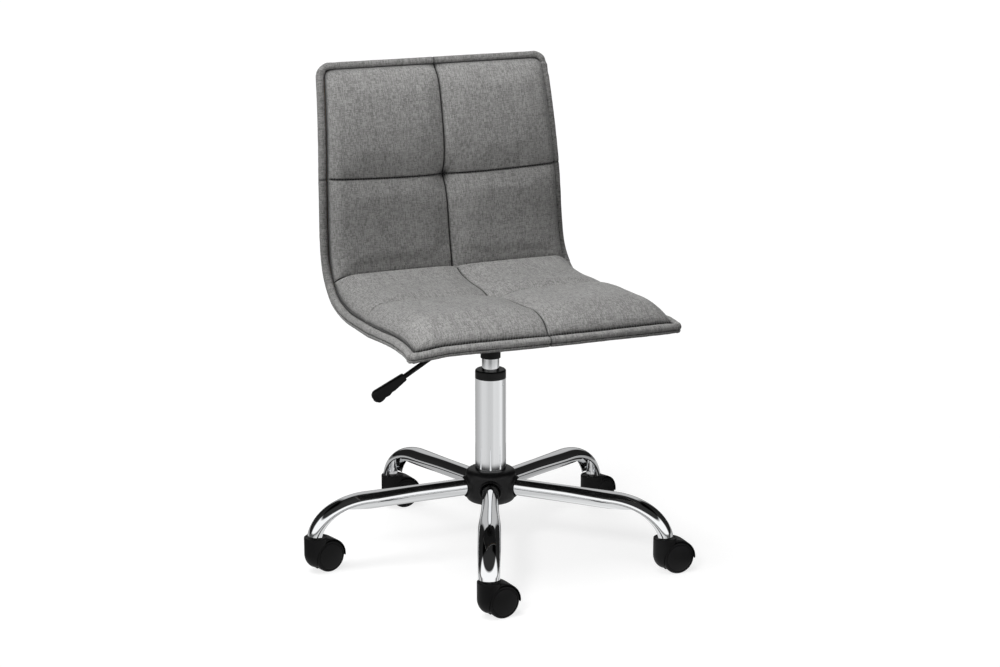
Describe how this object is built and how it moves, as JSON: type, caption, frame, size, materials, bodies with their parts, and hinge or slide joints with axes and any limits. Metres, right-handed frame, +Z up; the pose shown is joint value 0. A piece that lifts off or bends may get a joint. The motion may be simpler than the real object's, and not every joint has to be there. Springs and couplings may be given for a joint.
{
  "type": "swivel task chair",
  "caption": "Armless swivel task chair with a quilted seat and back in one curved shell, a gas-lift column and a bent-tube star base on twin-wheel casters.",
  "frame": {"origin": "on the floor, on the column axis", "axes": "+Z up along the column, -Y towards the front of the seat, +X to the left of a person seated in it"},
  "size_m": [0.6152, 0.5969, 0.7875],
  "materials": {
    "chrome": "polished",
    "steel": "bright zinc",
    "dark_steel": "satin black",
    "brass": "turned",
    "black_paint": "satin black",
    "black_plastic": "fine grain",
    "handle_plastic": "fine grain",
    "caster_plastic": "satin",
    "wheel_plastic": "satin",
    "rubber": "matt",
    "plywood": "bare",
    "fabric": "grey melange weave",
    "border_fabric": "grey melange weave",
    "dust_cloth": "black non-woven"
  },
  "bodies": {
    "base": {"hub_socket": "dark_steel", "base_leg_1": "chrome", "base_leg_2": "chrome", "base_leg_3": "chrome", "base_leg_4": "chrome", "base_leg_5": "chrome", "stem_sockets": "chrome", "hub_shroud": "black_plastic", "column_tube": "chrome", "column_guide": "black_plastic", "thrust_bearing": "steel"},
    "column_core": {"piston_rod": "steel", "rubber_bumper": "rubber", "piston": "brass", "rod_washer": "steel", "rod_clip": "steel"},
    "seat": {"gas_cylinder": "chrome", "rod_seal": "rubber", "seat_plate": "black_paint", "taper_socket": "black_paint", "lever_bracket": "black_paint", "lever_pin": "steel", "plate_bolts": "steel", "tee_nuts": "steel", "shell_board": "plywood", "seat_cushion": "fabric", "back_cushion": "fabric", "seat_band": "border_fabric", "back_band": "border_fabric", "rear_cover": "border_fabric", "under_cover": "dust_cloth"},
    "lever": {"lever_rod": "black_paint", "lever_handle": "handle_plastic"},
    "release": {"release_pin": "steel"},
    "caster_1": {"caster_stem_1": "steel", "caster_hood_1": "caster_plastic", "caster_axle_1": "steel"},
    "wheel_near_1": {"wheel_near_1": "wheel_plastic"},
    "wheel_far_1": {"wheel_far_1": "wheel_plastic"},
    "caster_2": {"caster_stem_2": "steel", "caster_hood_2": "caster_plastic", "caster_axle_2": "steel"},
    "wheel_near_2": {"wheel_near_2": "wheel_plastic"},
    "wheel_far_2": {"wheel_far_2": "wheel_plastic"},
    "caster_3": {"caster_stem_3": "steel", "caster_hood_3": "caster_plastic", "caster_axle_3": "steel"},
    "wheel_near_3": {"wheel_near_3": "wheel_plastic"},
    "wheel_far_3": {"wheel_far_3": "wheel_plastic"},
    "caster_4": {"caster_stem_4": "steel", "caster_hood_4": "caster_plastic", "caster_axle_4": "steel"},
    "wheel_near_4": {"wheel_near_4": "wheel_plastic"},
    "wheel_far_4": {"wheel_far_4": "wheel_plastic"},
    "caster_5": {"caster_stem_5": "steel", "caster_hood_5": "caster_plastic", "caster_axle_5": "steel"},
    "wheel_near_5": {"wheel_near_5": "wheel_plastic"},
    "wheel_far_5": {"wheel_far_5": "wheel_plastic"}
  },
  "joints": [
    {"name": "seat_swivel", "type": "hinge", "parent": "base", "child": "column_core", "pos_m": [0, 0, 0.09], "axis": [0, 0, 1], "continuous": true},
    {"name": "seat_lift", "type": "slide", "parent": "column_core", "child": "seat", "axis": [0, 0, 1], "range_m": [0, 0.1]},
    {"name": "lever_turn", "type": "hinge", "parent": "seat", "child": "lever", "pos_m": [-0.022, 0, 0.3805], "axis": [0, 1, 0], "range_deg": [0, 8], "stiffness_Nm_per_rad": 0.5, "springref_deg": -17.19},
    {"name": "release_press", "type": "slide", "parent": "seat", "child": "release", "axis": [0, 0, 1], "range_m": [-0.0035, 0]},
    {"name": "caster_swivel_1", "type": "hinge", "parent": "base", "child": "caster_1", "pos_m": [-0.11864, -0.269, 0.07], "axis": [0, 0, 1], "continuous": true},
    {"name": "roll_near_1", "type": "hinge", "parent": "caster_1", "child": "wheel_near_1", "pos_m": [-0.10024, -0.26706, 0.026], "axis": [-0.1045, 0.9945, 0], "continuous": true},
    {"name": "roll_far_1", "type": "hinge", "parent": "caster_1", "child": "wheel_far_1", "pos_m": [-0.10024, -0.26706, 0.026], "axis": [-0.1045, 0.9945, 0], "continuous": true},
    {"name": "caster_swivel_2", "type": "hinge", "parent": "base", "child": "caster_2", "pos_m": [0.21917, -0.19596, 0.07], "axis": [0, 0, 1], "continuous": true},
    {"name": "roll_near_2", "type": "hinge", "parent": "caster_2", "child": "wheel_near_2", "pos_m": [0.23766, -0.19661, 0.026], "axis": [0.0349, 0.9994, 0], "continuous": true},
    {"name": "roll_far_2", "type": "hinge", "parent": "caster_2", "child": "wheel_far_2", "pos_m": [0.23766, -0.19661, 0.026], "axis": [0.0349, 0.9994, 0], "continuous": true},
    {"name": "caster_swivel_3", "type": "hinge", "parent": "base", "child": "caster_3", "pos_m": [0.2541, 0.14789, 0.07], "axis": [0, 0, 1], "continuous": true},
    {"name": "roll_near_3", "type": "hinge", "parent": "caster_3", "child": "wheel_near_3", "pos_m": [0.271, 0.15541, 0.026], "axis": [-0.4067, 0.9135, 0], "continuous": true},
    {"name": "roll_far_3", "type": "hinge", "parent": "caster_3", "child": "wheel_far_3", "pos_m": [0.271, 0.15541, 0.026], "axis": [-0.4067, 0.9135, 0], "continuous": true},
    {"name": "caster_swivel_4", "type": "hinge", "parent": "base", "child": "caster_4", "pos_m": [-0.06213, 0.28736, 0.07], "axis": [0, 0, 1], "continuous": true},
    {"name": "roll_near_4", "type": "hinge", "parent": "caster_4", "child": "wheel_near_4", "pos_m": [-0.04373, 0.28929, 0.026], "axis": [-0.1045, 0.9945, 0], "continuous": true},
    {"name": "roll_far_4", "type": "hinge", "parent": "caster_4", "child": "wheel_far_4", "pos_m": [-0.04373, 0.28929, 0.026], "axis": [-0.1045, 0.9945, 0], "continuous": true},
    {"name": "caster_swivel_5", "type": "hinge", "parent": "base", "child": "caster_5", "pos_m": [-0.2925, 0.02971, 0.07], "axis": [0, 0, 1], "continuous": true},
    {"name": "roll_near_5", "type": "hinge", "parent": "caster_5", "child": "wheel_near_5", "pos_m": [-0.27454, 0.03419, 0.026], "axis": [-0.2419, 0.9703, 0], "continuous": true},
    {"name": "roll_far_5", "type": "hinge", "parent": "caster_5", "child": "wheel_far_5", "pos_m": [-0.27454, 0.03419, 0.026], "axis": [-0.2419, 0.9703, 0], "continuous": true}
  ],
  "couplings": [
    {"joint": "release_press", "follows": "lever_turn", "m_per_rad": -0.022}
  ]
}
